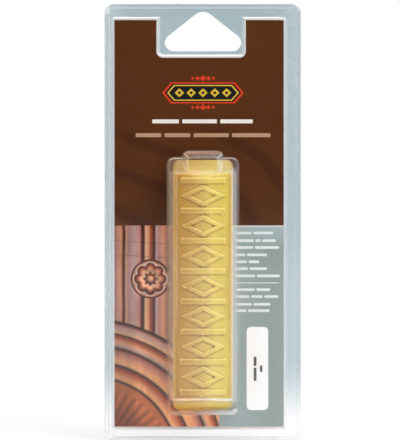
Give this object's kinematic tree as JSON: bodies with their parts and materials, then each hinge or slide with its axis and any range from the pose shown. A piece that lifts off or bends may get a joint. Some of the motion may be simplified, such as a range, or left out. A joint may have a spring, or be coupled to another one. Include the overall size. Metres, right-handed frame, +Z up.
{
  "type": "furniture repair wax stick",
  "caption": "Moulded wax filler stick in front of a notched printed card, inside a hinged clear hang pack with a crowned bubble, a raised rim and a triangular hang hole.",
  "frame": {"origin": "the highest point of the hang hole's edge, where a display peg bears, in the plane where the two clear halves meet", "axes": "+Z up along the pack's height, +X to the right seen from the front, -Y out of the front (the side with the bubble)"},
  "size_m": [0.0799, 0.0247, 0.1779],
  "materials": {
    "clear_sheet": "gloss",
    "hinge_sheet": "gloss",
    "printed_card": "satin",
    "label_paper": "matte",
    "wax": "satin"
  },
  "bodies": {
    "front_half": {"front_shell": "clear_sheet", "living_hinge": "hinge_sheet", "insert_card": "printed_card", "shade_label": "label_paper", "wax_stick": "wax"},
    "back_half": {"back_shell": "clear_sheet"}
  },
  "joints": [
    {"name": "pack_hinge", "type": "hinge", "parent": "front_half", "child": "back_half", "pos_m": [-0.0391, 0, 0], "axis": [0, 0, 1], "range_deg": [0, 180]}
  ]
}
